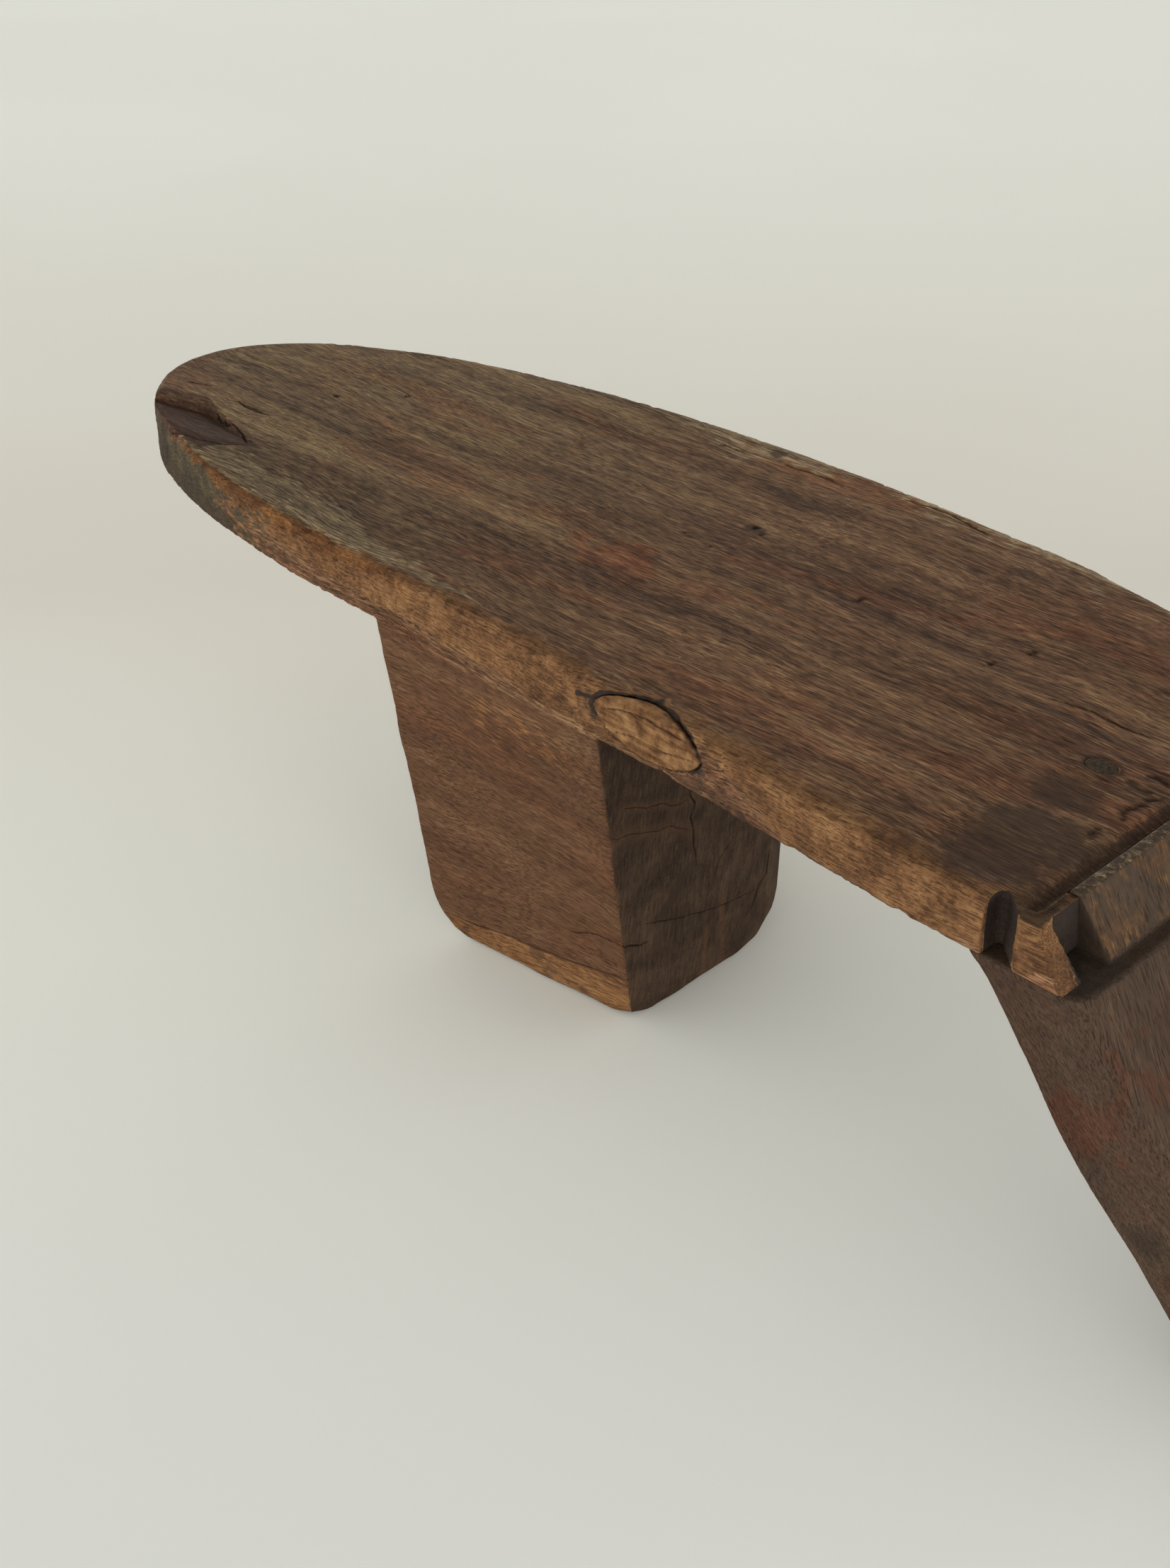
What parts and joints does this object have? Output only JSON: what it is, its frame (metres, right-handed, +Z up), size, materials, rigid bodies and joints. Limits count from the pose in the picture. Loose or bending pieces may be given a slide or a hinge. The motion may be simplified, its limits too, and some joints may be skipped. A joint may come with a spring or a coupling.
{
  "type": "carved wooden chair",
  "caption": "Low hand-hewn wooden seat: a tongue-shaped board carved with its block leg from one log, and a splayed rear leg jointed into the board's end.",
  "frame": {"origin": "on the ground, under the middle of the bounding box", "axes": "+X from the rounded nose to the splayed rear leg, +Y across the seat to the far side, +Z up"},
  "size_m": [0.901, 0.3018, 0.25],
  "materials": {
    "heartwood": "matte, hand-hewn and worn",
    "leg_wood": "matte, hand-hewn and worn",
    "peg_wood": "matte end grain",
    "knot_wood": "matte, worn"
  },
  "bodies": {
    "root": {"seat_and_front_leg": "heartwood", "rear_leg": "leg_wood", "leg_peg": "peg_wood", "edge_knot": "knot_wood"}
  },
  "joints": []
}
